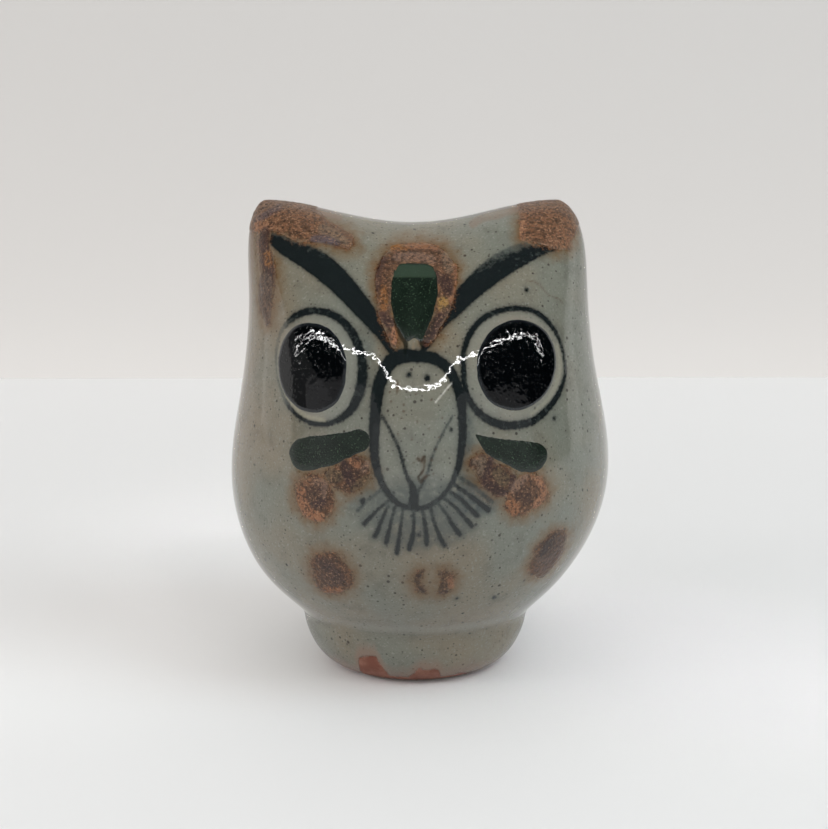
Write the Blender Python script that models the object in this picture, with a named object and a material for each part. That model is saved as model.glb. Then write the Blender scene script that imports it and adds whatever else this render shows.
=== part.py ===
"""Owl figurine: a hollow stoneware owl on a foot ring, with raised glaze and slip fired onto it.

The body is two press-moulded halves that meet in the plane through both ears. A floor slab with
a vent hole closes it, a foot ring is luted under the slab, and a beak is luted on the face.
The owl faces -Y. Left and right are as somebody facing the owl sees them.
Lengths below are in millimetres and become metres where a mesh is made.
"""
import math

import bmesh
import bpy
from mathutils import Vector

MM = 0.001

# --- driving dimensions -------------------------------------------------------------------
# Stations that the body's smooth curves are drawn through, from the foot to the crown:
# (height at the sides, half width, half depth, plan exponent, sideways lean, share of EAR_RISE).
# A plan exponent of 2 is an ellipse, and a larger one is squarer.
STATIONS = (
    (10.5, 19.8, 19.8, 2.0, -0.8, 0.0),
    (16.0, 26.7, 26.7, 2.0, -1.0, 0.0),
    (24.0, 31.3, 31.3, 2.0, -0.6, 0.0),
    (33.0, 33.7, 33.6, 2.0, 0.0, 0.0),
    (43.0, 32.8, 32.4, 2.0, 0.2, 0.0),
    (54.0, 30.3, 29.3, 2.1, 0.0, 0.1),
    (66.0, 29.0, 23.0, 2.4, -0.2, 0.4),
    (78.0, 29.4, 13.0, 2.7, -0.7, 0.8),
    (84.2, 24.8, 0.0, 2.7, -1.6, 1.0),
)
EAR_RISE = 4.1            # how far the ears stand above the middle of the crown
EAR_REACH = 26.0          # distance from the middle where the rise is complete
BODY_WALL = 4.0           # thickness of the press-moulded clay
BODY_SETBACK = 0.6        # the body's axis behind the middle of the whole, which counts the beak
CAVITY_HEIGHT_SHARE = 0.94  # height of the hollow inside over the height outside
JOIN_GAP = 0.3            # slip joint left between neighbouring solids

FOOT_LEAN = -0.8          # the foot's centre sits a little left of the belly's
FOOT_PROFILE = ((19.3, 7.0), (18.9, 5.3), (17.9, 3.0), (16.2, 1.0), (14.0, 0.0),
                (10.6, 0.0), (10.0, 0.6), (10.0, 7.0))   # radius, height round the ring
SLAB_RADII = (19.4, 19.8)  # at the slab's lower and upper edge
SLAB_HEIGHTS = (7.3, 10.2)
VENT_RADIUS = 3.5

BEAK_CENTRE = (-0.7, 44.5)   # x and height of its highest relief
BEAK_HALF_WIDTH = 7.6
BEAK_UP = 14.5               # from there to the top and to the tip
BEAK_DOWN = 8.8
BEAK_RISE = 1.9              # relief over the face at its highest
BEAK_EDGE = 0.5              # relief at its outline

PUPIL_RISE = 0.7
GREEN_RISE = 0.35
RUST_RISE = 0.3

ROWS_UP = 20              # mesh rows of a body half, foot to crown
COLUMNS_ROUND = 30        # mesh columns of a body half, side to side
FOOT_SEGMENTS = 48
SPOT_SEGMENTS = 20
SPOT_RINGS = (0.4, 0.75, 1.0)
BEAK_SEGMENTS = 28
BEAK_RINGS = (0.15, 0.35, 0.55, 0.75, 0.9, 1.0)
STRIP_STEPS = 12          # mesh rows along a strip
STRIP_ACROSS = (-1.0, -0.5, 0.0, 0.5, 1.0)

# Spots: centre (x, height), half width, half height, tilt in degrees, seen from the front.
PUPILS = {
    "left_pupil": ((-17.2, 56.5), 5.6, 6.9, 0),
    "right_pupil": ((15.5, 57.0), 6.4, 6.8, 0),
}
RUST_SPOTS = {
    "left_cheek_rust": ((-16.6, 36.2), 3.1, 3.6, 0),
    "left_inner_rust": ((-11.1, 39.6), 2.3, 2.6, -35),
    "right_cheek_rust": ((17.6, 36.6), 3.3, 3.3, 0),
    "right_inner_rust": ((12.2, 40.1), 2.3, 2.6, 40),
    "left_belly_rust": ((-14.5, 23.2), 3.7, 3.9, 0),
    "middle_belly_rust": ((2.3, 22.7), 3.2, 3.0, 0),
    "right_belly_rust": ((21.3, 25.9), 3.1, 3.9, -20),
}
# Strips: points along the middle (x, height, half width), seen from the front.
GREEN_STRIPS = {
    "crest_green": ((-0.8, 71.9, 1.6), (-0.8, 70.6, 3.0), (-0.6, 67.4, 3.6),
                    (-0.8, 64.2, 2.5), (-1.0, 61.2, 1.0)),
    "left_cheek_green": ((-20.4, 42.3, 0.9), (-18.6, 43.0, 2.4), (-12.8, 44.5, 2.0), (-9.2, 45.8, 1.5)),
    "right_cheek_green": ((9.6, 46.4, 0.4), (12.6, 45.0, 1.3), (17.4, 43.0, 2.4), (20.6, 42.6, 0.9)),
}
RUST_STRIPS = {
    "crest_rust": ((-5.6, 65.6, 0.5), (-6.1, 69.4, 1.0), (-4.4, 73.3, 1.1), (-0.6, 74.6, 1.1),
                   (3.4, 73.3, 1.1), (5.2, 69.6, 1.0), (4.9, 66.2, 0.5)),
    "left_ear_rust": ((-26.0, 76.0, 1.2), (-22.6, 77.6, 2.2), (-16.5, 77.4, 2.0), (-11.2, 75.2, 0.5)),
    "left_ear_streak": ((-26.9, 73.9, 1.1), (-26.6, 70.0, 1.0), (-26.2, 65.2, 0.4)),
    "right_ear_rust": ((18.0, 77.2, 3.0), (21.6, 77.4, 3.2), (25.0, 76.2, 2.4)),
}

# --- colours, metal and roughness ---------------------------------------------------------
GLAZE = ((0.235, 0.235, 0.195), 0.18)
CLAY = ((0.34, 0.16, 0.11), 0.75)
INK_POOL = ((0.008, 0.009, 0.012), 0.06)
COPPER_GREEN = ((0.018, 0.040, 0.024), 0.22)
IRON_RUST = ((0.27, 0.10, 0.035), 0.5)


def make_material(name, finish):
    colour, roughness = finish
    material = bpy.data.materials.new(name)
    material.use_nodes = True
    shader = material.node_tree.nodes["Principled BSDF"]
    shader.inputs["Base Color"].default_value = (*colour, 1.0)
    shader.inputs["Roughness"].default_value = roughness
    shader.inputs["Metallic"].default_value = 0.0
    return material


# --- the body's surface -------------------------------------------------------------------
def spline(values, t, after):
    """Smooth curve through evenly spaced stations at t in 0..1; after is the station past the end."""
    stations = [2 * values[0] - values[1], *values, after]
    place = min(max(t, 0.0), 1.0) * (len(values) - 1)
    first = min(int(place), len(values) - 2)
    f = place - first
    weights = ((1 - f) ** 3, 3 * f ** 3 - 6 * f ** 2 + 4, -3 * f ** 3 + 3 * f ** 2 + 3 * f + 1, f ** 3)
    return sum(w * stations[first + i] for i, w in enumerate(weights)) / 6


def column(index):
    return [station[index] for station in STATIONS]


def ear_share(x):
    return (1 - math.cos(math.pi * min(abs(x), EAR_REACH) / EAR_REACH)) / 2


def section(t, inset=0.0):
    """The body's cross-section at t: half width, half depth, exponent, lean, and the height at x."""
    sides, width, depth, exponent, lean, lift = (column(i) for i in range(6))
    middle = [height - EAR_RISE * share for height, share in zip(sides, lift)]
    half_width = spline(width, t, 2 * width[-1] - width[-2]) - inset
    # Depth runs on through zero past the crown, and height turns back, so the crown is round.
    half_depth = max(spline(depth, t, -depth[-2]), 0.0)
    half_depth -= min(inset, half_depth / 2)
    plan = spline(exponent, t, exponent[-1])
    shift = spline(lean, t, lean[-1])
    side_height = spline(sides, t, sides[-2])
    middle_height = spline(middle, t, middle[-2])

    def height_at(x):
        height = middle_height + (side_height - middle_height) * ear_share(x)
        if inset:
            height = sides[0] + (height - sides[0]) * CAVITY_HEIGHT_SHARE
        return height

    return half_width, half_depth, plan, shift, height_at


def body_point(t, angle, inset=0.0):
    """Point of the body at t, foot to crown, and at a plan angle: 0 is +X and 90 degrees is +Y."""
    half_width, half_depth, plan, shift, height_at = section(t, inset)
    cosine, sine = math.cos(angle), math.sin(angle)
    power = 2 / plan
    x = half_width * math.copysign(abs(cosine) ** power, cosine)
    y = half_depth * math.copysign(abs(sine) ** power, sine)
    return Vector((x + shift, y, height_at(x)))


def face_point(x, height):
    """Point of the body's front surface at x and a height."""
    low, high = 0.0, 1.0
    for _ in range(30):
        t = (low + high) / 2
        _, _, _, shift, height_at = section(t)
        if height_at(x - shift) < height:
            low = t
        else:
            high = t
    half_width, half_depth, plan, shift, _ = section((low + high) / 2)
    across = min(abs(x - shift) / half_width, 1.0)
    return Vector((x, -half_depth * (1 - across ** plan) ** (1 / plan), height))


def raised_point(x, height, distance):
    """Point at a distance off the front surface, along its outward normal."""
    step = 0.1
    along_x = face_point(x + step, height) - face_point(x - step, height)
    along_z = face_point(x, height + step) - face_point(x, height - step)
    return face_point(x, height) + along_x.cross(along_z).normalized() * distance


# --- meshes -------------------------------------------------------------------------------
def make_object(name, mesh_edit, material, parent, smooth_angle=50):
    mesh = bpy.data.meshes.new(name)
    bmesh.ops.recalc_face_normals(mesh_edit, faces=mesh_edit.faces)
    mesh_edit.to_mesh(mesh)
    mesh_edit.free()
    mesh.shade_smooth()
    mesh.set_sharp_from_angle(angle=math.radians(smooth_angle))
    mesh.materials.append(material)
    piece = bpy.data.objects.new(name, mesh)
    bpy.context.scene.collection.objects.link(piece)
    piece.parent = parent
    return piece


def add_row(mesh_edit, points):
    return [mesh_edit.verts.new(point * MM) for point in points]


def bridge(mesh_edit, first, second, closed=False):
    """Quads between two rows of the same length."""
    count = len(first)
    for i in range(count if closed else count - 1):
        j = (i + 1) % count
        mesh_edit.faces.new((first[i], first[j], second[j], second[i]))


def body_half(name, side, material, parent):
    """One press-moulded half with its wall: side is -1 for the front and 1 for the back."""
    mesh_edit = bmesh.new()
    skins = []
    for inset in (0.0, BODY_WALL):
        rows = []
        for i in range(ROWS_UP + 1):
            points = [body_point(i / ROWS_UP, side * math.pi * j / COLUMNS_ROUND, inset)
                      for j in range(COLUMNS_ROUND + 1)]
            for point in points:
                point.y = side * max(side * point.y, JOIN_GAP / 2)
            rows.append(add_row(mesh_edit, points))
        for lower, upper in zip(rows, rows[1:]):
            bridge(mesh_edit, lower, upper)
        border = rows[0] + [row[-1] for row in rows[1:]] + rows[-1][-2::-1] + [row[0] for row in rows[-2:0:-1]]
        skins.append(border)
    bridge(mesh_edit, skins[0], skins[1], closed=True)
    return make_object(name, mesh_edit, material, parent)


def turned(name, profile, material, parent, segments=FOOT_SEGMENTS):
    """A closed profile of (radius, height) points turned about the foot's axis."""
    mesh_edit = bmesh.new()
    rings = []
    for k in range(segments):
        angle = 2 * math.pi * k / segments
        rings.append(add_row(mesh_edit, [Vector((FOOT_LEAN + r * math.cos(angle), r * math.sin(angle), z))
                                         for r, z in profile]))
    for k in range(segments):
        bridge(mesh_edit, rings[k], rings[(k + 1) % segments], closed=True)
    return make_object(name, mesh_edit, material, parent, smooth_angle=35)


def spot(name, outline, rings, rise, material, parent):
    """A pad on the face: outline gives (centre, boundary points), and rise its thickness at 0..1."""
    centre, boundary = outline
    mesh_edit = bmesh.new()
    skins = []
    for upper in (False, True):
        def raised(x, z, share):
            return raised_point(x, z, JOIN_GAP + (rise(share) if upper else 0.0))
        hub = add_row(mesh_edit, [raised(*centre, 0.0)])[0]
        rows = []
        for share in rings:
            rows.append(add_row(mesh_edit, [raised(centre[0] + (x - centre[0]) * share,
                                                   centre[1] + (z - centre[1]) * share, share)
                                            for x, z in boundary]))
        for i, vertex in enumerate(rows[0]):
            mesh_edit.faces.new((hub, vertex, rows[0][(i + 1) % len(rows[0])]))
        for inner, outer in zip(rows, rows[1:]):
            bridge(mesh_edit, inner, outer, closed=True)
        skins.append(rows[-1])
    bridge(mesh_edit, skins[0], skins[1], closed=True)
    return make_object(name, mesh_edit, material, parent)


def ellipse(centre, half_width, half_height, tilt, segments=SPOT_SEGMENTS):
    turn = math.radians(tilt)
    points = []
    for k in range(segments):
        angle = 2 * math.pi * k / segments
        x, z = half_width * math.cos(angle), half_height * math.sin(angle)
        points.append((centre[0] + x * math.cos(turn) - z * math.sin(turn),
                       centre[1] + x * math.sin(turn) + z * math.cos(turn)))
    return centre, points


def beak_outline():
    """Egg shape, round at the top and drawn out to a blunt tip below."""
    points = []
    for k in range(BEAK_SEGMENTS):
        angle = 2 * math.pi * k / BEAK_SEGMENTS
        reach = BEAK_UP if math.sin(angle) > 0 else BEAK_DOWN
        points.append((BEAK_CENTRE[0] + BEAK_HALF_WIDTH * math.cos(angle),
                       BEAK_CENTRE[1] + reach * math.sin(angle)))
    return BEAK_CENTRE, points


def beak_rise(share):
    return BEAK_EDGE + (BEAK_RISE - BEAK_EDGE) * math.cos(math.pi / 2 * share) ** 1.5


def strip(name, middle, rise, material, parent):
    """A pad drawn like one brush stroke along a middle line of (x, height, half width) points."""
    def along(t):
        return [spline([point[i] for point in middle], t, 2 * middle[-1][i] - middle[-2][i]) for i in range(3)]

    outline = []
    for k in range(STRIP_STEPS + 1):
        t = k / STRIP_STEPS
        x, z, half = along(t)
        before, after = along(max(t - 0.02, 0.0)), along(min(t + 0.02, 1.0))
        heading = Vector((after[0] - before[0], after[1] - before[1])).normalized()
        outline.append([(x - heading.y * half * a, z + heading.x * half * a) for a in STRIP_ACROSS])

    mesh_edit = bmesh.new()
    borders = []
    for distance in (JOIN_GAP, JOIN_GAP + rise):
        rows = [add_row(mesh_edit, [raised_point(x, z, distance) for x, z in line]) for line in outline]
        for first, second in zip(rows, rows[1:]):
            bridge(mesh_edit, first, second)
        borders.append(rows[0] + [row[-1] for row in rows[1:]] + rows[-1][-2::-1]
                       + [row[0] for row in rows[-2:0:-1]])
    bridge(mesh_edit, borders[0], borders[1], closed=True)
    return make_object(name, mesh_edit, material, parent)


def main():
    for old in list(bpy.data.objects):
        bpy.data.objects.remove(old)

    glaze = make_material("glazed_body", GLAZE)
    clay = make_material("bare_clay", CLAY)
    ink = make_material("black_pool", INK_POOL)
    green = make_material("copper_green", COPPER_GREEN)
    rust = make_material("iron_rust", IRON_RUST)

    axis = bpy.data.objects.new("body_axis", None)
    axis.location = (0.0, BODY_SETBACK * MM, 0.0)
    bpy.context.scene.collection.objects.link(axis)
    bpy.context.view_layer.update()

    body_half("front_shell", -1, glaze, axis)
    body_half("back_shell", 1, glaze, axis)
    slab_profile = ((SLAB_RADII[0], SLAB_HEIGHTS[0]), (SLAB_RADII[1], SLAB_HEIGHTS[1]),
                    (VENT_RADIUS, SLAB_HEIGHTS[1]), (VENT_RADIUS, SLAB_HEIGHTS[0]))
    turned("floor_slab", slab_profile, glaze, axis)
    turned("foot_ring", FOOT_PROFILE, clay, axis)

    spot("beak", beak_outline(), BEAK_RINGS, beak_rise, glaze, axis)
    for name, shape in PUPILS.items():
        spot(name, ellipse(*shape), SPOT_RINGS, lambda share: PUPIL_RISE * (1 - 0.5 * share ** 2), ink, axis)
    for name, shape in RUST_SPOTS.items():
        spot(name, ellipse(*shape), SPOT_RINGS, lambda share: RUST_RISE, rust, axis)
    for name, middle in GREEN_STRIPS.items():
        strip(name, middle, GREEN_RISE, green, axis)
    for name, middle in RUST_STRIPS.items():
        strip(name, middle, RUST_RISE, rust, axis)


main()
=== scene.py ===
"""Looks of the owl figurine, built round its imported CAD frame.

The skin is one smooth surface, from the recess under the foot to the crown, cut into the three
clay pieces it covers. Brush lines are painted on it: each vertex knows how far it is from the
nearest stroke, and the glaze material draws the line from that. Black, green and rust glaze
stand proud of the skin, as on the real pot, so each of those is a mesh of its own.

Shapes are in millimetres in the body's own frame: x to the right as seen from the front, z up,
and the owl faces -y. world() turns them into metres in the row frame.
"""
import math

import bpy
import numpy as np
from mathutils import Euler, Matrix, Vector

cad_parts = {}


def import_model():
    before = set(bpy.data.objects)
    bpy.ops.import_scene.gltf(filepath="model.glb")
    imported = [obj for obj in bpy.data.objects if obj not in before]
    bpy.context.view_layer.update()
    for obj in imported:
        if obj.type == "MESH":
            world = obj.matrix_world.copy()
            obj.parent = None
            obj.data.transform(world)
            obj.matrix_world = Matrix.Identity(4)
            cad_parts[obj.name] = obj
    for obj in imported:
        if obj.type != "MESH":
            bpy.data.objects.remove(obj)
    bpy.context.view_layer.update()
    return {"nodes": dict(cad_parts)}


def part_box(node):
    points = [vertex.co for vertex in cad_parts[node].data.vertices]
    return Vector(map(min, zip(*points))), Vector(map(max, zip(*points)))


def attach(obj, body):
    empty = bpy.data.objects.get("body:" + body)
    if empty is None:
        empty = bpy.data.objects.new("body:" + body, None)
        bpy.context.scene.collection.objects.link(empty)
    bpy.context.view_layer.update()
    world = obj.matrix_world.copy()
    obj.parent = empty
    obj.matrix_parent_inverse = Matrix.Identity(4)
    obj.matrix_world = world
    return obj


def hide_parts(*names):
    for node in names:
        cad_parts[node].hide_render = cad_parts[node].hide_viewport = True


MM = 0.001

# --- the surface: the same stations as part.py, with the foot's added below them ------------
FOOT_STATIONS = (   # (height, radius), from the top of the recess, round under the foot, up its side
    (7.2, 10.0), (4.0, 10.0), (1.6, 10.0), (0.3, 10.2), (0.0, 11.0), (0.0, 11.8), (0.0, 12.7),
    (0.7, 15.3), (2.7, 17.6), (5.2, 18.95), (8.0, 19.95),
)
BODY_STATIONS = (   # side height, half width, half depth, plan exponent, lean, share of EAR_RISE
    (10.5, 19.9, 19.9, 2.0, -0.8, 0.0),
    (16.0, 26.7, 26.7, 2.0, -1.0, 0.0),
    (24.0, 31.3, 31.3, 2.0, -0.6, 0.0),
    (33.0, 33.7, 33.6, 2.0, 0.0, 0.0),
    (43.0, 32.8, 32.4, 2.0, 0.2, 0.0),
    (54.0, 30.3, 29.3, 2.1, 0.0, 0.1),
    (66.0, 29.0, 23.0, 2.4, -0.2, 0.4),
    (78.0, 29.4, 13.0, 2.7, -0.7, 0.8),
    (84.2, 24.8, 0.0, 2.7, -1.6, 1.0),
)
FOOT_LEAN = -0.8
EAR_RISE = 4.1
EAR_REACH = 26.0
FOOT_TOP = len(FOOT_STATIONS) - 0.1      # where the foot's piece ends and the body's begin
CROWN = len(FOOT_STATIONS) + len(BODY_STATIONS) - 1.0
BELLY = len(FOOT_STATIONS) + 3.0         # the station where the body is widest
LEFT, FRONT, RIGHT = math.radians(180), math.radians(270), math.radians(360)   # plan angles

BEAK_CENTRE = (-0.7, 43.5)   # x and height of its highest relief
BEAK_HALF_WIDTH = 7.6
BEAK_UP = 19.0               # it grows out of the brow without a step, and ends in a blunt tip below
BEAK_DOWN = 8.6
BEAK_RISE = 1.5

WALL = 3.0               # how far the inner surface lies behind the skin
WALL_STEP = 4            # the inner surface has one row and column for this many of the skin's
FOOT_SPACING = 0.36      # mesh spacing up the foot
FOOT_COLUMNS = 340
BACK_SPACING = 0.5       # mesh spacing round the back
FAR = 6.0                # distances to lines and outlines are worked out up to this


def station_table():
    foot = [(height, radius, radius, 2.0, FOOT_LEAN, 0.0) for height, radius in FOOT_STATIONS]
    return np.array(foot + list(BODY_STATIONS))


STATIONS = station_table()


def spline(values, t, after):
    """Uniform cubic B-spline through evenly spaced values, at t stations; after is the one past the end."""
    points = np.array([2 * values[0] - values[1], *values, after])
    first = np.clip(np.floor(t).astype(int), 0, len(values) - 2)
    f = t - first
    weights = ((1 - f) ** 3, 3 * f ** 3 - 6 * f ** 2 + 4, -3 * f ** 3 + 3 * f ** 2 + 3 * f + 1, f ** 3)
    return sum(w * points[first + i] for i, w in enumerate(weights)) / 6


def plain_skin(t, angle):
    """Points of the body before its relief: t in stations, and a plan angle, 0 for +x and 90 degrees for +y.
    Past the crown, t runs down the far side."""
    t, angle = np.broadcast_arrays(np.asarray(t, float), np.asarray(angle, float))
    past = t > CROWN
    t = np.where(past, 2 * CROWN - t, t)
    sides, width, depth, exponent, lean, lift = STATIONS.T
    middle = sides - EAR_RISE * lift
    plan = spline(exponent, t, exponent[-1])
    cosine, sine = np.cos(angle), np.sin(angle)
    reach = (np.abs(cosine) ** plan + np.abs(sine) ** plan) ** (-1 / plan)
    x = spline(width, t, 2 * width[-1] - width[-2]) * reach * cosine
    y = np.maximum(spline(depth, t, -depth[-2]), 0.0) * reach * sine
    ear = (1 - np.cos(math.pi * np.minimum(np.abs(x), EAR_REACH) / EAR_REACH)) / 2
    middle_height = spline(middle, t, middle[-2])
    height = middle_height + (spline(sides, t, sides[-2]) - middle_height) * ear
    return np.stack([x + spline(lean, t, lean[-1]), np.where(past, -y, y), height], axis=-1)


def normal_of(surface, t, angle, step_t=0.004, step_angle=0.002):
    """Outward unit normals of a surface function, by differences."""
    along_t = surface(t + step_t, angle) - surface(t - step_t, angle)
    along_angle = surface(t, angle + step_angle) - surface(t, angle - step_angle)
    normal = np.cross(along_angle, along_t)
    length = np.linalg.norm(normal, axis=-1, keepdims=True)
    # Past the crown both directions turn round together, so the sign holds; at a corner point up.
    return np.where(length > 1e-9, normal / np.maximum(length, 1e-9), (0.0, 0.0, 1.0))


def wave_set(count, shortest, longest, slope, seed):
    """Sine waves in random directions that together give a surface this average slope."""
    rng = np.random.default_rng(seed)
    waves = []
    for _ in range(count):
        direction = rng.normal(size=3)
        direction /= np.linalg.norm(direction)
        length = shortest * (longest / shortest) ** rng.random()
        number = 2 * math.pi / length
        amplitude = slope * math.sqrt(2 / count) / number
        waves.append((direction * number, rng.random() * 2 * math.pi, amplitude))
    return waves


HAND_WAVES = wave_set(14, 11.0, 30.0, 0.014, 2)      # unevenness from pressing and fettling by hand
PEEL_WAVES = wave_set(56, 0.8, 1.8, 0.009, 11)       # the glaze's own ripple, like orange peel


def ripple(points, waves):
    total = np.zeros(points.shape[:-1])
    for number, phase, amplitude in waves:
        total += amplitude * np.sin(points @ number + phase)
    return total


def smooth(low, high, value):
    """0 below low, 1 above high, and a smooth step between."""
    share = np.clip((value - low) / (high - low), 0.0, 1.0)
    return share * share * (3 - 2 * share)


def beak_relief(points):
    """How far the beak stands out of the face: a long rounded ridge with steeper flanks."""
    above = points[..., 2] - BEAK_CENTRE[1]
    along = np.clip(above / np.where(above > 0, BEAK_UP, -BEAK_DOWN), 0.0, 1.0)
    half_width = BEAK_HALF_WIDTH * np.where(above > 0, 1 - 0.2 * along ** 2, np.sqrt(1 - 0.75 * along ** 2))
    across = np.clip(np.abs(points[..., 0] - BEAK_CENTRE[0]) / half_width, 0.0, 1.0)
    rise = BEAK_RISE * np.cos(math.pi / 2 * along) ** 2 * (1 - across ** 3) ** 2
    return np.where(points[..., 1] < 0, rise, 0.0)


def skin(t, angle):
    """Points of the finished glazed surface."""
    points = plain_skin(t, angle)
    normal = normal_of(plain_skin, t, angle)
    glazed = smooth(3.0, 9.0, points[..., 2])
    lift = glazed * (ripple(points, HAND_WAVES) + ripple(points, PEEL_WAVES))
    points = points + normal * lift[..., None]
    points[..., 1] -= beak_relief(points)
    return points


def axis_offset():
    """The body's axis in the row frame: the front and back shells meet on it."""
    front_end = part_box("front_shell")[1].y
    back_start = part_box("back_shell")[0].y
    return (front_end + back_start) / 2


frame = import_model()
SETBACK = axis_offset() / MM


def world(points):
    """Metres in the row frame, from millimetres in the body's."""
    return (np.asarray(points, float) + (0.0, SETBACK, 0.0)) * MM


def spot_of(node):
    """Centre and half sizes (x, z) of a CAD pad as seen from the front, in body millimetres."""
    low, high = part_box(node)
    return (((low.x + high.x) / 2 / MM, (low.z + high.z) / 2 / MM),
            ((high.x - low.x) / 2 / MM, (high.z - low.z) / 2 / MM))


# --- brush work: (x, height, half width) along the middle of each stroke, from the front ----
LEFT_RING = ((-16, 65.4, .6), (-13, 64.4, .65), (-10.8, 62.2, .75), (-9.5, 59.5, .75), (-9.1, 56.5, .85),
             (-9.7, 53, .85), (-11.4, 50.2, .65), (-13.8, 48.6, .45), (-16.5, 48, .4), (-19.3, 48.7, .4),
             (-21.6, 50.6, .4), (-23.1, 54, .25), (-23.6, 58, .2), (-22.8, 61.6, .25), (-21, 63.9, .5),
             (-18.6, 65.2, .6))
RIGHT_RING = ((15, 65.9, .45), (11, 64.9, .5), (8.5, 62.8, .55), (7.2, 60, .5), (7, 57, .5), (7.3, 54, .5),
              (8.3, 51.7, .55), (10.3, 49.6, .65), (13, 48.3, .7), (15.7, 48, .7), (18.5, 48.4, .65),
              (21.3, 50.3, .6), (23.2, 52.7, .45), (24, 55.5, .27), (23.3, 59.5, .27), (21.5, 62.9, .4),
              (18.8, 65.2, .45))
LEFT_BROW = ((-25.2, 76.6, .8), (-22.5, 75.3, 1.5), (-19.5, 74, 1.75), (-16.2, 72.3, 2.0), (-13.2, 70, 1.9),
             (-10.4, 67.3, 1.7), (-7.8, 64.5, 1.4), (-5.6, 61.8, 1.0), (-4.6, 60, .7))
RIGHT_BROW = ((0.5, 59.8, .5), (1.5, 61, .55), (3, 63.8, 1.1), (5.5, 66.2, 1.5), (8.5, 68.9, 1.7),
              (11.5, 71.2, 1.9), (14.5, 73, 1.9), (17.5, 74.2, 1.6), (20.5, 74.9, 1.0), (22.8, 75, .5))
BEAK_LEFT = ((0, 59, .95), (-2.5, 59, 1.1), (-4.6, 58.2, 1.15), (-5.9, 56, 1.05), (-6.6, 54, 1.05),
             (-7, 50.5, .95), (-7.2, 46.5, .85), (-7, 43, .75), (-6.1, 40, .6), (-4.6, 37.6, .55),
             (-2.8, 36.2, .45), (-.6, 35.7, .5))
BEAK_RIGHT = ((0, 59, .95), (2.4, 58.6, .9), (4.5, 57.2, .85), (5.8, 55, .85), (6.6, 52.5, .85),
              (6.8, 49, .7), (6.7, 45.5, .65), (6.1, 42, .55), (4.9, 39.3, .45), (3.2, 37.3, .4),
              (1.2, 36, .45), (-.6, 35.7, .45))
BEAK_FOLDS = (
    ((-5.9, 50, .22), (-4.5, 47.8, .25), (-3.3, 45.4, .27), (-2.4, 42.5, .3), (-1.7, 40.3, .33),
     (-1, 39, .35)),
    ((5.2, 50, .2), (3.5, 47.3, .2), (2.2, 44.5, .2), (1.2, 41.5, .22), (.3, 39.5, .25), (-.3, 38.3, .3)),
    ((-1.3, 40, .4), (-.9, 38.3, .7), (-.9, 36.2, .9)),
)
WHISKERS = (
    ((-5, 36.8, .27), (-6.9, 35, .27), (-8.8, 32.9, .4)),
    ((-5, 36, .27), (-5.6, 34.6, .27), (-7.1, 30.9, .42)),
    ((-3.9, 35.8, .27), (-4.5, 33.5, .27), (-5.3, 29.9, .42)),
    ((-2.6, 35.6, .27), (-3, 32.5, .27), (-3.6, 28.2, .45)),
    ((-.9, 35.6, .27), (-.9, 33, .27), (-1.1, 31, .4), (-1.6, 28.9, .42)),
    ((.4, 35.5, .27), (.9, 33, .36), (1.2, 29.8, .42)),
    ((1.8, 35.8, .27), (2.4, 33.2, .27), (3.3, 30.8, .38), (4, 29.4, .42)),
    ((2.9, 36.5, .27), (4.2, 34.8, .27), (5.2, 33, .36), (6.4, 31.2, .42)),
    ((3.6, 37.6, .27), (5.6, 35.8, .27), (7.2, 34, .36), (8.4, 32.5, .42)),
    ((4.4, 38.6, .27), (6.8, 36.8, .36), (9.2, 34.2, .45)),
    ((5, 39.8, .27), (8, 37.5, .38), (11, 35, .5)),
    ((5.5, 41, .3), (8.5, 39, .32), (11.6, 36.2, .35)),
    ((-6.2, 38.5, .28), (-8.2, 36.8, .28), (-9.8, 35, .28)),
)
INK_DOTS = ((-1.7, 56.3, .42), (1.2, 55.8, .47), (-.1, 31.3, .38), (17.5, 68.6, .38), (22, 48.2, .35),
            (12.3, 18.5, .4), (6.1, 19.2, .27), (5, 48, .3), (-9, 36.6, .55), (-8, 54.5, .2))

# (stroke, darkness at its first point, darkness at its last point)
STROKES = (
    (LEFT_BROW, .97, 1.1),
    (RIGHT_BROW, 1.12, .75),
    (BEAK_LEFT, 1.0, .8),
    (BEAK_RIGHT, 1.0, .72),
    (BEAK_FOLDS[0], .75, .9),
    (BEAK_FOLDS[1], .45, .6),
    (BEAK_FOLDS[2], .85, .85),
    *((line, .6, 1.1) for line in WHISKERS[:11]),
    (WHISKERS[11], .45, .5),
    (WHISKERS[12], .35, .45),
    *(((dot, dot), .85, .85) for dot in INK_DOTS),
)


def drawn(stroke, closed=False, step=0.08):
    """Closely spaced points of a smooth curve through a stroke's points."""
    points = np.array(stroke, float)
    if closed:
        points = np.vstack([points[-1:], points, points[:2]])
    else:
        points = np.vstack([2 * points[0] - points[1], points, 2 * points[-1] - points[-2]])
        points[:, 2:] = np.maximum(points[:, 2:], 0.05)
    runs = []
    for a, b, c, d in zip(points, points[1:], points[2:], points[3:]):
        count = max(2, int(np.linalg.norm((c - b)[:2]) / step) + 1)
        f = (np.arange(count) / count)[:, None]
        runs.append(0.5 * (2 * b + (c - a) * f + (2 * a - 5 * b + 4 * c - d) * f ** 2
                           + (3 * b - a - 3 * c + d) * f ** 3))
    if not closed:
        runs.append(points[-2:-1])
    return np.vstack(runs)


def close_to(line, x, z):
    """Numbers of the points that may lie less than FAR from a line."""
    low, high = line[:, :2].min(axis=0) - FAR, line[:, :2].max(axis=0) + FAR
    return np.flatnonzero((x > low[0]) & (x < high[0]) & (z > low[1]) & (z < high[1]))


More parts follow.
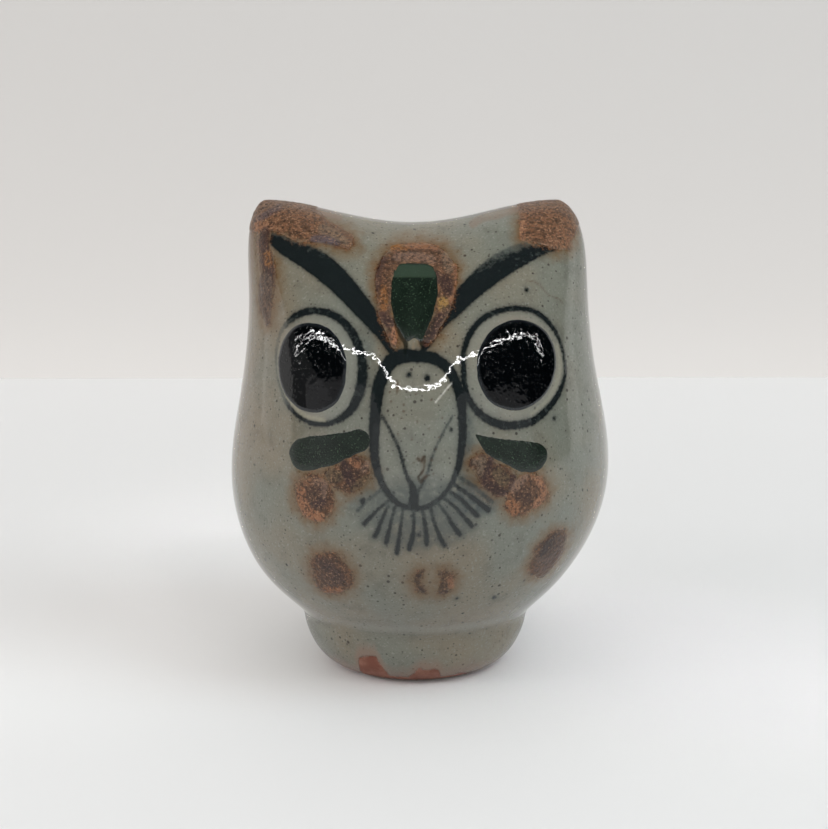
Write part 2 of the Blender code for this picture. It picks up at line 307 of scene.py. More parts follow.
def stroke_field(x, z, stroke, closed=False):
    """For points (x, z): distance to the stroke's edge, less than 0 inside; place along it, 0 to 1;
    and place across it, -1 to 1, positive on its right-hand side."""
    line = drawn(stroke, closed)
    heading = np.gradient(line[:, :2], axis=0)
    heading /= np.maximum(np.linalg.norm(heading, axis=1, keepdims=True), 1e-9)
    distance, along, across = np.full(x.shape, FAR), np.zeros(x.shape), np.zeros(x.shape)
    places = close_to(line, x, z)
    batch = 4000
    for start in range(0, len(places), batch):
        chosen = places[start:start + batch]
        dx = x[chosen, None] - line[None, :, 0]
        dz = z[chosen, None] - line[None, :, 1]
        gap = np.hypot(dx, dz) - line[None, :, 2]
        best = gap.argmin(axis=1)
        rows = np.arange(len(chosen))
        distance[chosen] = gap[rows, best]
        along[chosen] = best / (len(line) - 1)
        beside = dx[rows, best] * heading[best, 1] - dz[rows, best] * heading[best, 0]
        across[chosen] = beside / line[best, 2]
    return distance, along, across


# --- raised glaze: outlines as signed distance, in mm, less than 0 inside -------------------
GREEN_OUTLINES = {
    "crest_green": ((-1.0, 72.7), (-3.4, 72.6), (-4.4, 71.6), (-4.8, 68.4), (-4.4, 65.2), (-3.3, 62.9),
                    (-2.0, 61.2), (-0.9, 61.6), (0.4, 61.2), (1.5, 63.4), (2.5, 66.0), (3.0, 69.0),
                    (2.8, 71.4), (1.7, 72.5)),
    "left_cheek_green": ((-21.2, 43.0), (-20.5, 41.0), (-19.0, 40.4), (-17.2, 40.7), (-15.0, 41.5),
                         (-12.5, 42.3), (-10.5, 43.6), (-8.4, 44.8), (-7.9, 46.6), (-9.2, 47.8),
                         (-12.0, 47.2), (-15.0, 46.5), (-18.0, 45.9), (-20.2, 45.0)),
    "right_cheek_green": ((8.8, 47.0), (10.2, 46.8), (13.0, 46.2), (16.0, 45.6), (18.3, 45.1), (20.0, 44.3),
                          (20.8, 43.0), (20.3, 41.5), (18.9, 40.4), (17.0, 40.4), (15.3, 41.1),
                          (13.5, 42.2), (12.0, 43.0), (10.4, 44.3)),
}
CREST_BAND = ((-4.1, 60.6, .5), (-4.6, 62.6, .8), (-5.6, 65.2, 1.0), (-5.8, 68.2, 1.25), (-5.5, 71.4, 1.45),
              (-3.7, 73.6, 1.5), (-1.0, 74.0, 1.4), (2.2, 73.7, 1.5), (4.2, 71.8, 1.75), (4.3, 69.2, 1.5),
              (4.0, 66.6, 1.2), (3.0, 64.3, 1.0), (1.3, 61.6, .8))
EAR_EDGES = {   # outline of the rust that caps each ear, on the front; it runs on over the ridge
    "left_ear_rust": ((-30.0, 90.0), (-30.0, 77.0), (-27.3, 77.0), (-25.4, 77.5), (-24.0, 77.4),
                      (-22.6, 76.9), (-21.3, 76.3), (-19.9, 75.9), (-18.3, 76.0), (-15.4, 75.8),
                      (-13.6, 75.2), (-11.8, 74.8), (-10.9, 75.3), (-11.2, 76.4), (-13.0, 77.6),
                      (-15.2, 78.7), (-16.8, 79.8), (-18.0, 81.2), (-18.5, 90.0)),
    "right_ear_rust": ((17.0, 90.0), (16.8, 80.0), (16.7, 78.0), (16.8, 76.2), (17.7, 75.9), (19.6, 75.7),
                       (21.4, 75.0), (23.2, 74.5), (24.8, 74.6), (26.1, 76.3), (27.0, 77.6), (28.2, 79.0),
                       (30.0, 80.0), (30.0, 90.0)),
}
RUST_OUTLINES = {
    "left_inner_rust": ((-15.0, 40.6), (-13.4, 41.8), (-11.9, 43.0), (-10.0, 43.6), (-8.1, 42.9),
                        (-7.8, 41.4), (-8.2, 39.8), (-9.4, 38.6), (-11.2, 37.8), (-13.2, 38.2),
                        (-14.6, 39.2)),
    "right_inner_rust": ((7.9, 42.8), (9.2, 43.9), (10.9, 43.8), (12.3, 42.5), (14.0, 41.6), (15.4, 40.3),
                         (15.2, 38.8), (13.8, 37.3), (12.6, 37.0), (11.2, 37.9), (9.8, 39.2), (8.8, 41.0)),
    "right_cheek_rust": ((14.2, 37.6), (15.3, 39.0), (16.6, 40.1), (18.2, 40.1), (19.6, 39.3), (20.6, 37.6),
                         (20.5, 35.8), (19.5, 34.5), (17.8, 34.2), (16.4, 33.4), (14.9, 33.8),
                         (13.7, 35.2)),
    "left_belly_rust": ((-17.8, 25.2), (-16.2, 26.9), (-13.8, 27.2), (-12.1, 25.9), (-11.0, 24.0),
                        (-11.1, 21.5), (-12.8, 19.7), (-15.2, 19.0), (-16.9, 20.2), (-17.6, 22.7)),
    "right_belly_rust": ((22.8, 29.6), (24.3, 28.4), (24.2, 25.9), (23.2, 23.4), (21.6, 21.3), (19.8, 20.9),
                         (18.3, 22.5), (18.5, 25.0), (19.5, 27.2), (21.1, 29.0)),
}
EAR_BACK = 4.0           # how far the rust runs down behind the ridge
STREAK = ((-26.0, 77.6, 1.1), (-26.1, 75.6, 1.1), (-25.7, 74.0, 1.1), (-25.5, 72.5, 1.3),
          (-25.2, 70.5, 1.2), (-25.3, 68.5, 1.2), (-25.5, 66.0, 1.05), (-25.5, 64.3, .7),
          (-25.3, 62.9, .35))
ARC_PARTS = (            # the middle belly rust: a thin arc and a wider smear
    ((.5, 24.8, .3), (-.4, 23.5, .45), (-.1, 21.9, .45), (.7, 20.8, .3)),
    ((4.1, 24.4, .6), (4.4, 22.6, 1.1), (3.6, 20.9, .7)),
)


def round_spot(node, wider=1.0, squareness=2.0):
    """Signed distance to an oval that fits a CAD pad."""
    (cx, cz), (half_x, half_z) = spot_of(node)
    half_x, half_z = half_x * wider, half_z * wider

    def field(points):
        u, v = (points[..., 0] - cx) / half_x, (points[..., 2] - cz) / half_z
        reach = (np.abs(u) ** squareness + np.abs(v) ** squareness) ** (1 / squareness)
        return (reach - 1) * min(half_x, half_z)
    return field


def brushed(*strokes):
    """Signed distance to the nearest of some strokes."""
    def field(points):
        flat = points.reshape(-1, 3)
        distances = [stroke_field(flat[:, 0], flat[:, 2], stroke)[0] for stroke in strokes]
        return np.minimum.reduce(distances).reshape(points.shape[:-1])
    return field


def outline_field(corners, rounded=True):
    """Signed distance to a closed outline through these (x, height) points."""
    if rounded:
        line = drawn([(x, z, 0.0) for x, z in corners], closed=True, step=0.15)[:, :2]
    else:
        line = np.array(corners, float)

    def field(points):
        flat = points.reshape(-1, 3)
        near = close_to(line, flat[:, 0], flat[:, 2])
        px, pz = flat[near, 0], flat[near, 2]
        best, odd = np.full(len(near), FAR), np.zeros(len(near), bool)
        for (ax, az), (bx, bz) in zip(line, np.roll(line, -1, axis=0)):
            length = (bx - ax) ** 2 + (bz - az) ** 2
            if length == 0:
                continue
            share = np.clip(((px - ax) * (bx - ax) + (pz - az) * (bz - az)) / length, 0.0, 1.0)
            best = np.minimum(best, np.hypot(px - ax - share * (bx - ax), pz - az - share * (bz - az)))
            if az != bz:
                odd ^= ((az > pz) != (bz > pz)) & (px < (bx - ax) * (pz - az) / (bz - az) + ax)
        distance = np.full(len(flat), FAR)
        distance[near] = np.where(odd, -best, best)
        return distance.reshape(points.shape[:-1])
    return field


def ear_cap(name):
    """Rust over an ear: inside a drawn outline on the front, and down to a level behind the ridge."""
    front = outline_field(EAR_EDGES[name], rounded=False)

    def field(points):
        behind = points[..., 1] - EAR_BACK - 1.2 * np.sin(points[..., 0] * 0.9)
        return np.maximum(front(points), behind)
    return field


DEPOSIT_FIELDS = {
    "left_pupil": round_spot("left_pupil", 0.99, 2.15),
    "right_pupil": round_spot("right_pupil", 1.0, 2.1),
    **{name: outline_field(outline) for name, outline in GREEN_OUTLINES.items()},
    "crest_rust": brushed(CREST_BAND),
    "left_ear_rust": ear_cap("left_ear_rust"),
    "left_ear_streak": brushed(STREAK),
    "right_ear_rust": ear_cap("right_ear_rust"),
    "left_cheek_rust": round_spot("left_cheek_rust"),
    "middle_belly_rust": brushed(*ARC_PARTS),
    **{name: outline_field(outline) for name, outline in RUST_OUTLINES.items()},
}
RUST_WARMTH = {   # how orange each rust area is, against dark brown
    "crest_rust": 0.5, "left_ear_rust": 0.7, "left_ear_streak": 0.3, "right_ear_rust": 0.75,
    "left_cheek_rust": 0.5, "left_inner_rust": 0.25, "right_cheek_rust": 0.5, "right_inner_rust": 0.15,
    "left_belly_rust": 0.45, "middle_belly_rust": 0.35, "right_belly_rust": 0.15,
}
RUST_NAMES = list(RUST_WARMTH)
GREEN_NAMES = list(GREEN_OUTLINES)
PUPIL_NAMES = ["left_pupil", "right_pupil"]

# Colours worked into the rust and the glaze beside it, with a few painted highlights and one painted shadow
# line: (stroke, tint, strength)
TINTS = (
    (((-28.5, 79.7, .8), (-26.6, 80.9, .9), (-23.7, 81.6, .8), (-21, 81.6, .8), (-18.5, 81.1, .8),
      (-16.1, 80.2, .5), (-13.5, 79.4, .4)), "mauve", .6),
    (((-28.8, 79.2, .8), (-28.9, 75.3, .8), (-28.8, 71.2, .8), (-28.9, 66.9, .7), (-29, 62.7, .4)),
     "mauve", .55),
    # a painted shadow: a dark diagonal line across the top of the left ear
    (((-27.8, 79.1, .4), (-26.1, 79.9, .5), (-23.9, 81.2, .4)), "slate", .6),
    (((-27.6, 78, .8), (-25, 78.2, .5)), "pink", .55),
    (((-16.5, 79.5, .25), (-15.3, 78.4, .3), (-13, 77.4, .3), (-11.4, 76.4, .3), (-11, 75.5, .3)),
     "brown", .8),
    (((-16.2, 77.8, .8), (-14, 76.9, .7), (-12.2, 75.8, .5)), "stone", .7),
    (((-17.7, 76.4, .45), (-15.8, 76.3, .6), (-13.7, 75.7, .4)), "slate", .85),
    (((-14.1, 75.1, .2), (-11.6, 74.9, .25)), "brown", .8),
    (((-25.9, 77.4, .7), (-26.3, 75.6, .8), (-25.7, 74, .8), (-25.4, 72.5, .9), (-24.9, 71, .7),
      (-24.7, 69, .4)), "maroon", .6),
    (((-25.5, 73.7, .6), (-25.3, 72.4, .6)), "amber", .75),
    (((-25.6, 69.5, 1.2), (-25.8, 66.4, 1.2), (-25.5, 64.5, .9), (-25.3, 62.8, .4)), "dusk", .85),
    (((8.9, 78.4, .6), (10.8, 79.4, .6), (13.4, 80, .7), (15.6, 80.8, .7), (18.3, 81.2, .8),
      (20.6, 81.6, .8), (22.9, 81.5, .8), (25.5, 80.4, .9)), "mauve", .5),
    (((26.6, 79, .6), (27.4, 77.6, .4)), "mauve", .7),
    (((17.3, 78.6, .5), (17.1, 76.6, .4)), "pink", .6),
    (((-4.5, 74.9, .27), (-3.4, 75, .4), (-2.2, 74.8, .35)), "amber", .85),
    (((-2, 75.1, .4), (.4, 75.2, .45), (2.9, 74.9, .4)), "orange", .6),
    (((-3.8, 73.6, .6), (-.8, 73.7, .7), (2, 73.2, .6)), "lilac", .55),
    (((4.4, 73.6, .8), (4.8, 71.9, .7)), "stone", .6),
    (((2.6, 71, .6), (4.2, 69.8, .95), (4.9, 68.5, .7)), "maroon", .9),
    (((-5.9, 73.3, .5), (-6.7, 71.2, .55), (-6.7, 68.9, .5)), "maroon", .75),
    (((-5.9, 69.1, .5), (-5.8, 66.9, .6), (-5.9, 65.5, .4)), "amber", .65),
    (((-6, 65.1, .6), (-4.8, 63.8, .75)), "maroon", .85),
    (((-4, 63, .4), (-4.1, 61.1, .45)), "peach", .95),
    (((3.8, 66.9, .85), (3.8, 66.2, .75)), "ochre", .9),
    (((4.3, 65.9, .4), (3.1, 64.5, .65), (2, 62.7, .7), (.8, 61.1, .7)), "maroon", .8),
    (((5.9, 72.4, .2), (5.9, 70.7, .2), (5.7, 68.9, .2), (4.9, 66.9, .2)), "orange", .7),
    (((-4, 65, .2), (-3.6, 63.2, .35), (-2.7, 61.8, .45), (-2.2, 60.8, .35), (-2.3, 59.6, .25)),
     "pine", .95),
    (((2.4, 64.4, .2), (1.3, 62.3, .3), (.2, 61.4, .3), (.5, 60.3, .25)), "pine", .9),
    (((-1, 61, .05), (-1, 60.3, .3)), "sand", .85),
    (((-3.6, 55.2, .3), (-3.5, 54.2, .3), (-3.6, 53.4, .1)), "umber", .6),
    (((-.2, 43.8, .4), (.6, 43.7, .4), (.5, 41.7, .3), (.9, 40.9, .4)), "brown", .3),
    (((.8, 44.2, .15), (.8, 43.2, .07), (.7, 42.3, .07), (.3, 41.6, .14), (-.2, 40.8, .16), (.3, 40, .18)),
     "bark", .95),
    (((-.3, 43.9, .16), (.2, 43.4, .12), (.6, 44, .12)), "bark", .85),
    (((.4, 40.4, .2), (.8, 40.9, .16), (1.7, 41.3, .07)), "bark", .8),
    # a painted highlight: a thin bright glint down the beak's right flank
    (((5.1, 55, .07), (2.5, 52.2, .07)), "painted_glint", .8),
    # painted highlights: a pale line along the lower rim of each pupil
    (((-22.5, 59.6, .2), (-22.9, 55.4, .35), (-21.4, 51.6, .4), (-18.6, 49.2, .4), (-15.2, 48.8, .3)),
     "pale", .5),
    (((22.6, 59.8, .25), (23, 55.6, .4), (21.3, 51.8, .4), (18.1, 49.4, .3)), "pale", .4),
    (((17.2, 70, .06), (18.9, 69.8, .08), (20.2, 68.8, .08), (21.1, 67.7, .08), (22.9, 66.9, .08),
      (23.8, 66, .06)), "umber", .7),
    *((((x, z, half), (x, z, half)), "umber", .75) for x, z, half in (
        (-2.5, 51.9, .18), (-2.5, 50.9, .22), (-4.5, 52.3, .18), (-4.7, 53.7, .16), (-2.8, 49.9, .16),
        (3.6, 49.9, .14), (1.5, 48.3, .15), (-1.2, 46.8, .14), (2.6, 45.2, .15), (-3.4, 47.5, .14),
        (1.9, 43.6, .2), (-.9, 43.2, .16), (2.2, 41.4, .15),
        (-1.4, 41.6, .14), (3.1, 47, .13), (-.4, 49.4, .15), (1.9, 52.6, .16), (-.6, 53.4, .13))),
    (((-19.1, 37, .7), (-18.9, 35.3, .8), (-17.7, 33.7, .95), (-16, 33.3, .8)), "peach", .75),
    (((-16.8, 35.2, .55), (-15.6, 35.8, .6)), "maroon", .85),
    (((-16.2, 37.7, .27), (-15.2, 38.2, .45)), "maroon", .7),
    (((-16.6, 39, .6), (-15.3, 38.7, .6), (-15.4, 36.8, .4)), "lilac", .5),
    (((-14.1, 40.2, 1.1), (-13.1, 40.2, .9)), "olive", .75),
    (((-12, 42.3, .5), (-11.5, 40.9, .75), (-10.8, 39.4, .8)), "maroon", .9),
    (((-10.9, 42.8, .4), (-9.9, 42.2, .5)), "peach", .7),
    (((-8.2, 42.6, .4), (-8.8, 41.6, .5)), "lilac", .6),
    (((-10.6, 38.4, .4), (-9.2, 39.6, .6), (-8.4, 40.4, .4)), "olive", .7),
    (((8.6, 42.8, .4), (9.9, 42.7, .8), (10, 41.4, .9)), "stone", .65),
    (((11.3, 43, .5), (10.5, 39.8, .6), (11.9, 38.4, .7), (13.6, 37.5, .5)), "maroon", .85),
    (((12.5, 40.8, .9), (13.4, 39.7, 1)), "olive", .8),
    (((15, 39.8, .5), (14.7, 38.4, .5)), "maroon", .8),
    (((17, 39.7, .5), (15.8, 38.7, .75), (15.1, 37.8, .5)), "lilac", .6),
    (((17.6, 38.3, .7), (18.6, 37.6, .7), (18.8, 36.1, .6)), "brown", .8),
    (((19, 39.1, .4), (20, 37.5, .5), (19.7, 35.9, .6), (18.7, 34.8, .5)), "pink", .85),
    (((14.3, 35.8, .5), (15.3, 35.1, .9), (15.2, 34, .5)), "orange", .85),
    (((-16.4, 25.6, .6), (-14.8, 24.6, 1.1), (-13.3, 22.8, 1.2)), "maroon", .6),
    (((-17.2, 25.2, .5), (-16.6, 23.2, .6)), "brown", .6),
    (((-15.3, 19.8, .6), (-13.1, 20.3, .6)), "orange", .7),
    (((-12, 25.4, .2), (-11.3, 23.2, .2), (-11.6, 21, .2)), "brown", .7),
    (((.5, 24.8, .25), (-.4, 23.5, .27), (-.1, 21.9, .27), (.7, 20.8, .25)), "umber", .8),
    (((4.2, 24.3, .5), (4.1, 22.5, .7), (3.5, 20.8, .5)), "umber", .75),
    (((5, 23, .5), (5.2, 21.7, .5)), "pink", .6),
    (((22.2, 28.5, .27), (21.1, 27.3, .65), (20.1, 25.7, .55)), "dark", .95),
    (((22.9, 28, .4), (23.7, 26.9, .4), (22.5, 25.4, .5), (21.2, 24.2, .5), (19.3, 24.8, .4)), "dusk", .6),
    (((19.2, 23.2, .7), (20.8, 22.2, .8)), "brown", .75),
)

# How far each kind stands up, how wide its rounded shoulder is, and its grain: (mm, mm, mm, grain length).
RELIEF = {
    "pupil": (0.20, 0.5, 0.002, 1.2),
    "green": (0.08, 1.3, 0.005, 1.2),
    "rust": (0.07, 0.9, 0.06, 0.75),
}
EDGE_WOBBLE = {"pupil": 0.07, "green": 0.10, "rust": 0.20}    # how ragged its outline is
DEPOSIT_SPACING = {"pupil": 0.17, "green": 0.22, "rust": 0.17}
DEPOSIT_END = -0.2       # a deposit ends where its top has sunk to this height over the skin
DEPOSIT_DEPTH = 0.45     # and its underside lies this far behind the skin

RING_TONE = 0.82
# Ovals on the front, (x, height, half width, half height), with strength and soft edge outside and inside.
WASHES = (               # thinned ink, and the last oval darker glaze along the groove above the foot
    ((8.5, 37.6, 4.6, 3.6), 1.0, 1.5, 1.5),
    ((0.3, 34.6, 9.6, 6.0), 0.7, 1.6, 1.6),
    ((-8.6, 37.0, 3.0, 3.0), 0.45, 1.2, 1.2),
    ((7.6, 46.5, 1.2, 5.6), 0.75, 0.9, 0.9),
    ((-8.3, 58.6, 1.0, 4.0), 0.5, 1.2, 1.2),
    # darker along the groove just above the foot
    ((0.5, 9.2, 15.0, 1.6), 0.32, 1.2, 1.0),
)
PALE_SPOTS = (           # whiter glaze round the pupils and on the beak, and a painted reflection as a pale band above the groove
    ((-16.35, 56.8, 7.2, 8.8), 1.0, 0.4, 0.6),
    ((15.5, 57.0, 8.5, 8.95), 1.0, 0.4, 0.6),
    ((-0.2, 47.3, 6.6, 11.6), 0.4, 0.3, 0.8),
    # a painted reflection: the pale band of the lower belly just above the groove
    ((1.0, 12.0, 14.0, 0.9), 1.3, 0.9, 0.7),
)
BACK_START = 2.0         # y past which only the ears have rust
BACK_RUST_LOW = 70.0     # and only above this height
BARE_PATCHES = (         # where the foot's glaze ends higher: (degrees, half width in radians, height)
    (245, 0.19, 4.2), (277, 0.20, 2.4), (298, 0.22, 0.5), (222, 0.2, 0.5),
)
BARE_BASE_RADIUS = 14.6  # the foot has no glaze underneath, within this radius


# --- meshes -------------------------------------------------------------------------------
def even_parameters(curve, low, high, spacing):
    """Parameters low to high along curve(parameter), so that neighbours are spacing mm apart.
    spacing is a number or a function of the points. The steps are a multiple of WALL_STEP."""
    fine = np.linspace(low, high, 4000)
    points = curve(fine)
    lengths = np.linalg.norm(np.diff(points, axis=0), axis=1)
    wanted = spacing(points[1:]) if callable(spacing) else spacing
    cost = np.concatenate([[0.0], np.cumsum(lengths / wanted)])
    count = WALL_STEP * int(math.ceil(cost[-1] / WALL_STEP))
    return np.interp(np.linspace(0, cost[-1], count + 1), cost, fine)


def add_float(mesh, name, values):
    mesh.attributes.new(name, "FLOAT", "POINT").data.foreach_set("value", np.asarray(values, np.float32))


def build_mesh(name, points, faces, normals=None, outer_faces=0):
    """A mesh from points in body mm. The first outer_faces faces are skin, and take the exact normals."""
    mesh = bpy.data.meshes.new(name)
    mesh.from_pydata(world(points).tolist(), [], faces)
    mesh.validate()
    mesh.shade_smooth()
    if normals is not None:
        corner_vertex = np.zeros(len(mesh.loops), int)
        mesh.loops.foreach_get("vertex_index", corner_vertex)
        corner_normals = np.zeros((len(mesh.loops), 3))
        outer_corners = 4 * outer_faces
        corner_normals[:outer_corners] = normals[corner_vertex[:outer_corners]]
        mesh.normals_split_custom_set(corner_normals.tolist())
    return mesh


def show(name, mesh, material, replaced):
    piece = bpy.data.objects.new(name, mesh)
    bpy.context.scene.collection.objects.link(piece)
    mesh.materials.append(material)
    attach(piece, "root")
    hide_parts(*replaced)
    return piece


def grid_faces(rows, columns, start=0, flip=False, wrap=False):
    """Quads of a grid of rows x columns vertices, numbered row by row from start."""
    i, j = np.meshgrid(np.arange(rows - 1), np.arange(columns if wrap else columns - 1), indexing="ij")
    k = (j + 1) % columns
    a, b = start + i * columns + j, start + i * columns + k
    c, d = start + (i + 1) * columns + k, start + (i + 1) * columns + j
    quads = np.stack([a, d, c, b] if flip else [a, b, c, d], axis=-1)
    return quads.reshape(-1, 4).tolist()


def border_of(rows, columns, start):
    """Vertex numbers round a grid's border."""
    grid = start + np.arange(rows * columns).reshape(rows, columns)
    return np.concatenate([grid[0], grid[1:, -1], grid[-1, ::-1][1:], grid[::-1, 0][1:-1]])


def half_skin(t_values, angles):
    """Points, faces, normals and number of outer faces of one body half, with its coarser inner surface."""
    rows, columns = len(t_values), len(angles)
    t, angle = np.meshgrid(t_values, angles, indexing="ij")
    inner_t, inner_angle = t[::WALL_STEP, ::WALL_STEP], angle[::WALL_STEP, ::WALL_STEP]
    outer = skin(t, angle)
    inner = plain_skin(inner_t, inner_angle) - normal_of(plain_skin, inner_t, inner_angle) * WALL
    for wall in (outer, inner):
        wall[:, (0, -1), 1] = 0.0
        wall[-1, :, 1] = 0.0

    start = rows * columns
    inner_rows, inner_columns = inner_t.shape
    faces = grid_faces(rows, columns)
    outer_faces = len(faces)
    faces += grid_faces(inner_rows, inner_columns, start, flip=True)
    fine = border_of(rows, columns, 0)
    coarse = border_of(inner_rows, inner_columns, start)
    for k, first in enumerate(coarse):
        following = coarse[(k + 1) % len(coarse)]
        run = [int(fine[(WALL_STEP * k + i) % len(fine)]) for i in range(WALL_STEP + 1)]
        faces.append([int(first), int(following), *run[::-1]])
    points = np.vstack([outer.reshape(-1, 3), inner.reshape(-1, 3)])
    normals = np.zeros((len(points), 3))
    normals[:start] = normal_of(skin, t, angle).reshape(-1, 3)
    return points, faces, normals, outer_faces


def foot_skin():
    """The same for the foot: glazed side, bare bevel and base, recess, and a hidden top."""
    t_values = even_parameters(lambda t: plain_skin(t, FRONT), 0.0, FOOT_TOP, FOOT_SPACING)
    angles = np.linspace(0, 2 * math.pi, FOOT_COLUMNS, endpoint=False)
    t, angle = np.meshgrid(t_values, angles, indexing="ij")
    rows, columns = t.shape
    slab_low, slab_high = (corner.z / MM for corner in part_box("floor_slab"))
    clear = 0.05
    top = ((20.0, slab_high + 0.7), (19.87, slab_high + clear), (19.45, slab_low - clear),
           (10.4, slab_low - clear))
    across, behind = np.cos(angles), np.sin(angles)
    hidden = [np.stack([FOOT_LEAN + radius * across, radius * behind, np.full(columns, height)], axis=-1)
              for radius, height in top]
    points = np.vstack([skin(t, angle).reshape(-1, 3), *hidden])
    faces = grid_faces(rows, columns, wrap=True)
    outer_faces = len(faces)
    faces += grid_faces(len(hidden) + 1, columns, (rows - 1) * columns, wrap=True)
    last = (rows + len(hidden) - 1) * columns
    faces += [[last + j, last + (j + 1) % columns, (j + 1) % columns, j] for j in range(columns)]
    normals = np.zeros((len(points), 3))
    normals[:rows * columns] = normal_of(skin, t, angle).reshape(-1, 3)
    return points, faces, normals, outer_faces


def soft_spots(x, z, spots):
    """The strongest of some soft-edged ovals at each point."""
    cover = np.zeros(len(x))
    for (cx, cz, half_x, half_z), strength, outside, inside in spots:
        distance = (np.hypot((x - cx) / half_x, (z - cz) / half_z) - 1) * min(half_x, half_z)
        cover = np.maximum(cover, strength * smooth(outside, -inside, distance))
    return cover


def paint_front(mesh, points):
    """The distances and masks that the glaze material reads, at each vertex of the front."""
    x, z = points[:, 0], points[:, 2]
    ink, tone = np.full(len(points), FAR), np.zeros(len(points))
    lines = [(stroke, False, first, last) for stroke, first, last in STROKES]
    lines += [(ring, True, RING_TONE, RING_TONE) for ring in (LEFT_RING, RIGHT_RING)]
    for stroke, closed, first, last in lines:
        distance, along, across = stroke_field(x, z, stroke, closed)
        dark = first + (last - first) * along
        if stroke is LEFT_BROW:      # thin along the upper edge of its start
            dark -= 0.5 * smooth(-0.1, -0.9, across) * smooth(0.55, 0.1, along)
        if stroke is RIGHT_BROW:     # and of its end
            dark -= 0.45 * smooth(-0.1, -0.9, across) * smooth(0.35, 0.7, along)
        if stroke is LEFT_RING:      # nearly gone at its far side
            dark -= 0.7 * smooth(-20.5, -23.3, x)
        tone = np.where(distance < ink, dark, tone)
        ink = np.minimum(ink, distance)
    add_float(mesh, "ink", ink)
    add_float(mesh, "ink_tone", tone)
    add_float(mesh, "pale", soft_spots(x, z, PALE_SPOTS))
    add_float(mesh, "wash", soft_spots(x, z, WASHES))


def paint_rust(mesh, points):
    """Distance to the nearest rust and how warm that rust is: the skin and the rust share one pattern."""
    nearest, warmth = np.full(len(points), FAR), np.full(len(points), 0.5)
    at_back = points[:, 1] > BACK_START
    for name, warm in RUST_WARMTH.items():
        distance = DEPOSIT_FIELDS[name](points)
        if name not in EAR_EDGES:
            distance = np.where(at_back, FAR, distance)
        warmth = np.where(distance < nearest, warm, warmth)
        nearest = np.minimum(nearest, distance)
    add_float(mesh, "rust_edge", np.where(at_back & (points[:, 2] < BACK_RUST_LOW), FAR, nearest))
    add_float(mesh, "rust_warm", warmth)
    paint_tints(mesh, points)


def paint_tints(mesh, points):
    """Colour and strength, at each vertex, of the tints worked into the rust and glaze, among them painted
    highlights and a painted shadow line.
    """
    x, z = points[:, 0], points[:, 2]
    seen = smooth(1.5, 0.5, points[:, 1])
    painted = np.zeros((len(points), 4))
    for stroke, tint, strength in TINTS:
        cover = strength * smooth(0.28, -0.22, stroke_field(x, z, stroke)[0]) * seen
        colour = np.array(linear(*TINT_COLOURS[tint]))
        total = cover + painted[:, 3] * (1 - cover)
        share = (cover / np.maximum(total, 1e-6))[:, None]
        painted[:, :3] = painted[:, :3] * (1 - share) + colour * share
        painted[:, 3] = total
    mesh.attributes.new("tint", "FLOAT_COLOR", "POINT").data.foreach_set("color", painted.ravel())


def bare_edge(points):
    """Height in mm above the glaze's lower edge; below 0 the clay is bare."""
    x, y, z = points[:, 0], points[:, 1], points[:, 2]
    turn = np.arctan2(y, x - FOOT_LEAN)
    edge = 1.2 + 0.35 * np.sin(3 * turn + 0.6) + 0.25 * np.sin(7 * turn + 2.0)
    for place, width, height in BARE_PATCHES:
        gap = np.abs((turn - math.radians(place) + math.pi) % (2 * math.pi) - math.pi)
        edge = edge + height * smooth(width, width * 0.35, gap)
    underneath = np.hypot(x - FOOT_LEAN, y) < BARE_BASE_RADIUS
    return np.where(underneath, -3.0, z - edge)


